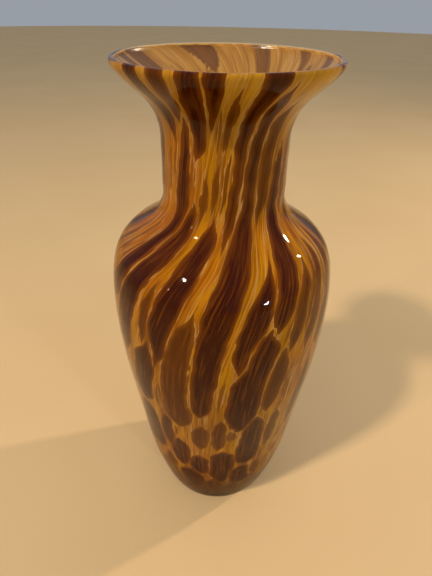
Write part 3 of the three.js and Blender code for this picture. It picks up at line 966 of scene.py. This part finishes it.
class VASE_OT_casing(bpy.types.Operator):
    """Build the clear casing with its rounded lip"""

    bl_idname = "vase.casing"
    bl_label = "Clear casing"

    # The kick under the foot: radius of its flat middle, radius of the ring it rests on, and its height.
    KICK_FLAT = 11 * MM
    KICK_RING = 25 * MM
    KICK_HEIGHT = 2 * MM
    # Width and height of the rounded heel between the foot and the wall.
    HEEL_IN = 3 * MM
    HEEL_OUT = 0.7 * MM
    HEEL_HEIGHT = 0.5 * MM
    WALL_START = 0.6 * MM
    SPACING = 2 * MM
    SEGMENTS = 180
    # How far the lip stands over the inner face of the lining, and how far down it reaches inside.
    OVERLAP = 0.05 * MM
    LIP_REACH = 2.8 * MM
    # Where the inner face leaves the wall for its floor, and how far that floor is sunk in the lining.
    BACK_END = 12 * MM
    FLOOR_DEPTH = 0.8 * MM

    def profile(self, shape):
        """Half section of the casing, from the middle of its underside to the middle of its floor."""
        flat, rim, kick = self.KICK_FLAT, self.KICK_RING, self.KICK_HEIGHT
        foot = wall.radius(0.0)
        under = [[0, kick], [flat * 0.5, kick]]
        under.extend(bend((flat * 0.6, kick), (flat, kick), (flat * 1.3, kick * 0.8), 5))
        under.extend(bend((rim * 0.8, kick * 0.3), (rim, 0), (rim * 1.16, 0), 6))
        heel = (foot + self.HEEL_OUT, self.HEEL_HEIGHT)
        under.extend(bend((foot - self.HEEL_IN, 0), (foot, 0), heel, 5))
        spring = HEIGHT - shape.lip_height
        outside = section(run(self.WALL_START, spring, self.SPACING * 0.75), 0)
        half = (shape.lip_wall + 2 * self.OVERLAP) / 2
        angles = np.linspace(0, math.pi, 14)[1:-1]
        middle = wall.radius(spring) - half
        lip_radii = middle + half * np.cos(angles)
        lip = np.stack([lip_radii, spring + shape.lip_height * np.sin(angles)], axis=-1)
        seat = LINING_TOP - self.LIP_REACH
        levels = run(spring, seat, 0.5 * MM)
        inner = section(levels, thickness(shape, levels) + self.OVERLAP)
        back = section(run(seat, self.BACK_END, self.SPACING), shape.casing_back_depth)
        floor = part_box(LINING)[0][2] + self.FLOOR_DEPTH
        turn = bend(back[-1], (back[-1][0] - 2 * MM, floor), (30 * MM, floor), 8)
        end = np.array([[12 * MM, floor], [0, floor]])
        return np.concatenate([np.array(under), outside, lip, inner, back, turn, end])

    def execute(self, context):
        shape = context.scene.vase_shape
        points, faces = revolve(self.profile(shape), self.SEGMENTS)
        piece = make_object("casing", points, faces)
        turns = np.degrees(np.arctan2(points[:, 0], -points[:, 1]))
        add_vectors(piece, "flow", flow(turns, np.clip(points[:, 2], 0, HEIGHT)))
        close_mesh(piece)
        piece.data.materials.append(clear_glass(context.scene.vase_colours))
        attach(piece, BODY)
        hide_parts(CASING)
        return {"FINISHED"}


class VASE_OT_lining(bpy.types.Operator):
    """Build the amber lining, with the brown pieces showing on its inside"""

    bl_idname = "vase.lining"
    bl_label = "Amber lining"

    SPACING = 1.6 * MM
    # Height of the rounded heel under the outer face.
    HEEL_HEIGHT = 3 * MM
    # How far under the rounded top edge the outer and the inner face end, and how far its crown rises.
    EDGE_OUT = 0.1 * MM
    EDGE_IN = 0.7 * MM
    EDGE_RISE = 0.15 * MM
    # Where the inner face leaves the wall for the floor, and the wall height that its turn belongs to.
    INSIDE_END = 24 * MM
    TOE_HEIGHT = 18 * MM
    # Degrees per metre that the pattern leans more on the inside, and how far down from the lip.
    SLANT = 500
    SLANT_REACH = 30 * MM

    def profile(self, shape):
        """Half section of the lining and the wall height that each place in it belongs to."""
        low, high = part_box(LINING)[0][2], LINING_TOP
        outside_heights = run(low + self.HEEL_HEIGHT, high - self.EDGE_OUT, self.SPACING)
        outside = section(outside_heights, shape.lining_depth)
        inside_heights = run(high - self.EDGE_IN, self.INSIDE_END, self.SPACING)
        inside = section(inside_heights, thickness(shape, inside_heights))
        places = [vertex.co for vertex in frame["nodes"][LINING].data.vertices]
        floor = max(place.z for place in places if math.hypot(place.x, place.y) < MM)
        under = np.array([[0, low], [15 * MM, low], [30 * MM, low]])
        heel = bend((33 * MM, low), (outside[0][0] - MM, low), outside[0], 6)
        crown = ((outside[-1][0] + inside[0][0]) / 2, high + self.EDGE_RISE)
        lip = bend(outside[-1], crown, inside[0], 6)
        toe = bend(inside[-1], (inside[-1][0] - 4 * MM, floor), (24 * MM, floor), 10)
        end = np.array([[14 * MM, floor], [6 * MM, floor], [0, floor]])
        parts = [under, heel, outside, lip, inside, toe, end]
        heights = [low, low, outside_heights, high, inside_heights, self.TOE_HEIGHT, floor]
        # The lip and all that follows it show the inside's colours.
        is_inside = [np.full(len(part), index > 2) for index, part in enumerate(parts)]
        heights = [np.broadcast_to(height, len(part)) for height, part in zip(heights, parts)]
        return np.concatenate(parts), np.concatenate(heights), np.concatenate(is_inside)

    def execute(self, context):
        shape = context.scene.vase_shape
        colours = context.scene.vase_colours
        profile, heights, is_inside = self.profile(shape)
        points, faces = revolve(profile, shape.segments)
        ring_heights = np.append(np.repeat(heights[1:-1], shape.segments), heights[[0, -1]])
        ring_inside = np.append(np.repeat(is_inside[1:-1], shape.segments), is_inside[[0, -1]])
        turns = np.degrees(np.arctan2(points[:, 0], -points[:, 1]))
        turns = turns + ring_inside * self.SLANT * np.clip(HEIGHT - ring_heights, 0, self.SLANT_REACH)
        piece = make_object("lining", points, faces)
        add_vectors(piece, "flow", flow(turns, ring_heights))
        add_numbers(piece, "brown", self.stain(shape, turns, ring_heights, ring_inside))
        piece.data.materials.append(amber_glass(colours))
        piece.data.materials.append(lit_inside_glass(colours))
        for face in piece.data.polygons:
            face.material_index = int(all(ring_inside[index] for index in face.vertices))
        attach(piece, BODY)
        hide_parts(LINING)
        return {"FINISHED"}

    def stain(self, shape, turns, heights, is_inside):
        """How brown the inside is: 1 behind a brown piece, 0 elsewhere."""
        stain = np.zeros(len(turns))
        for outline in all_outlines():
            rows, left, right = outline.rows(shape.row_spacing, shape.wander, shape.grow, shape.seam)
            levels = np.minimum(heights, PATTERN_TOP)
            near = is_inside & (levels >= rows[0]) & (levels <= rows[-1])
            place = levels[near]
            middle = (np.interp(place, rows, left) + np.interp(place, rows, right)) / 2
            half = (np.interp(place, rows, right) - np.interp(place, rows, left)) / 2
            away = np.abs((turns[near] - middle + 180) % 360 - 180)
            inside = (half - away) * np.radians(wall.radius(place))
            soft = smooth_step(inside, -0.5 * MM, 2 * MM) * (0.5 + 0.5 * outline.tone)
            stain[near] = np.maximum(stain[near], soft)
        return stain


class VASE_OT_browns(bpy.types.Operator):
    """Build the brown pieces combed into the wall"""

    bl_idname = "vase.browns"
    bl_label = "Brown pieces"

    def execute(self, context):
        shape = context.scene.vase_shape
        colours = context.scene.vase_colours
        if not BROWNS:
            raise RuntimeError("the frame holds no brown pieces")
        deep, thin = (colours.brown_core, colours.brown_rim), (colours.thin_core, colours.thin_rim)
        finishes = {
            DEEP_BROWN: brown_glass("deep_brown", colours, *deep, 0.25),
            THIN_BROWN: brown_glass("thin_brown", colours, *thin, 0.5),
        }
        for outline in all_outlines()[: len(BROWNS)]:
            piece = brown_piece(outline.name + "_glass", [outline], shape)
            slot = SLOTS[outline.name]
            piece.data.materials.append(finishes[slot])
            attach(piece, BODY)
            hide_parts(outline.name)
        piece = brown_piece("small_brown_pieces", all_outlines()[len(BROWNS) :], shape)
        piece.data.materials.append(finishes[THIN_BROWN])
        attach(piece, BODY)
        return {"FINISHED"}


class VASE_OT_stage(bpy.types.Operator):
    """Set up the floor, the lights and the camera"""

    bl_idname = "vase.stage"
    bl_label = "Stage"

    # Rings of the floor within its edge, its number of sides, and how far it lies under the foot.
    FLOOR_RINGS = (0.1, 0.3, 0.8, 2.0)
    FLOOR_SIDES = 64
    FLOOR_DROP = 0.2 * MM
    SENSOR = 36
    # The share of the vase's height that the lamps look at.
    LAMP_TARGET = 0.6
    # Name, turn from the front towards +X and elevation in degrees, distance, size and watts, and colour.
    LAMPS = [
        ("window", 43, 4, 1.3, 0.09, 4, "cool"),
        ("lamp_left", -50, 50, 1.5, 0.1, 11, "warm"),
        ("lamp_left_low", -54, 24, 1.5, 0.05, 1.6, "warm"),
        ("lamp_right", 113, 34, 1.4, 0.05, 6, "warm"),
    ]

    def lamp(self, name, turn, rise, distance, size, watts, colour):
        """A soft square lamp that looks at the middle of the vase."""
        data = bpy.data.lights.new(name, "AREA")
        data.size = size
        data.energy = watts
        data.color = colour
        target = Vector((0, 0, HEIGHT * self.LAMP_TARGET))
        turn, rise = math.radians(turn), math.radians(rise)
        aim = Vector((math.sin(turn) * math.cos(rise), -math.cos(turn) * math.cos(rise), math.sin(rise)))
        lamp = bpy.data.objects.new(name, data)
        lamp.location = target + aim * distance
        lamp.rotation_euler = aim.to_track_quat("Z", "Y").to_euler()
        # The casing already lets this light straight through, so the bent rays leave it out.
        lamp.visible_transmission = False
        bpy.context.scene.collection.objects.link(lamp)

    def camera(self, stage):
        """A camera on a tripod in front of the vase, looking down at it."""
        data = bpy.data.cameras.new("camera")
        data.lens = stage.focal_length
        data.sensor_width = self.SENSOR
        data.clip_start = 0.01
        forward = Vector(
            (
                math.sin(stage.yaw) * math.cos(stage.pitch),
                math.cos(stage.yaw) * math.cos(stage.pitch),
                -math.sin(stage.pitch),
            )
        )
        level = Vector((math.cos(stage.yaw), -math.sin(stage.yaw), 0))
        above = level.cross(forward)
        right = level * math.cos(stage.roll) + above * math.sin(stage.roll)
        up = above * math.cos(stage.roll) - level * math.sin(stage.roll)
        camera = bpy.data.objects.new("camera", data)
        place = Matrix((right, up, -forward)).transposed().to_4x4()
        place.translation = Vector((0, -stage.camera_back, stage.camera_height))
        camera.matrix_world = place
        bpy.context.scene.collection.objects.link(camera)
        bpy.context.scene.camera = camera

    def floor(self, stage, colours):
        """A wide flat disc."""
        sides = self.FLOOR_SIDES
        radii = (*self.FLOOR_RINGS, stage.floor_radius)
        angles = np.linspace(0, math.tau, sides, endpoint=False)
        points = [[r * math.cos(a), r * math.sin(a), -self.FLOOR_DROP] for r in radii for a in angles]
        points.append([0, 0, -self.FLOOR_DROP])
        faces = []
        for column in range(sides):
            following = (column + 1) % sides
            faces.append((column, following, len(points) - 1))
            for ring in range(len(radii) - 1):
                a, b = ring * sides + column, ring * sides + following
                faces.append((a, a + sides, b + sides, b))
        floor = make_object("floor", np.array(points), faces)
        floor.data.materials.append(floor_paper(colours))

    def execute(self, context):
        stage = context.scene.vase_stage
        self.floor(stage, context.scene.vase_colours)
        tints = {"warm": stage.warm, "cool": stage.cool}
        for name, turn, rise, distance, size, watts, tint in self.LAMPS:
            self.lamp(name, turn, rise, distance, size, watts, tints[tint])
        self.camera(stage)
        world = bpy.data.worlds.new("surround")
        world.use_nodes = True
        background = world.node_tree.nodes["Background"]
        background.inputs["Color"].default_value = (*stage.surround, 1)
        background.inputs["Strength"].default_value = stage.sky
        context.scene.world = world
        context.scene.view_settings.view_transform = "Standard"
        return {"FINISHED"}


class VASE_PT_panel(bpy.types.Panel):
    """Sidebar panel with the steps in order"""

    bl_idname = "VASE_PT_panel"
    bl_label = "Combed Glass Vase"
    bl_space_type = "VIEW_3D"
    bl_region_type = "UI"
    bl_category = "Glass Vase"

    def draw(self, context):
        for operator in OPERATORS:
            self.layout.operator(operator.bl_idname)
        for group in ("vase_shape", "vase_colours", "vase_stage"):
            settings = getattr(context.scene, group)
            box = self.layout.box()
            for name in settings.__annotations__:
                box.prop(settings, name)


GROUPS = {"vase_shape": VaseShape, "vase_colours": VaseColours, "vase_stage": VaseStage}
OPERATORS = [VASE_OT_stage, VASE_OT_casing, VASE_OT_lining, VASE_OT_browns]


def register():
    for kind in (*GROUPS.values(), *OPERATORS, VASE_PT_panel):
        bpy.utils.register_class(kind)
    for name, group in GROUPS.items():
        setattr(bpy.types.Scene, name, PointerProperty(type=group))


def unregister():
    for name in GROUPS:
        delattr(bpy.types.Scene, name)
    for kind in reversed((*GROUPS.values(), *OPERATORS, VASE_PT_panel)):
        bpy.utils.unregister_class(kind)


def main():
    """Build the vase."""
    register()
    bpy.ops.vase.stage()
    bpy.ops.vase.casing()
    bpy.ops.vase.lining()
    bpy.ops.vase.browns()


if __name__ == "__main__":
    main()
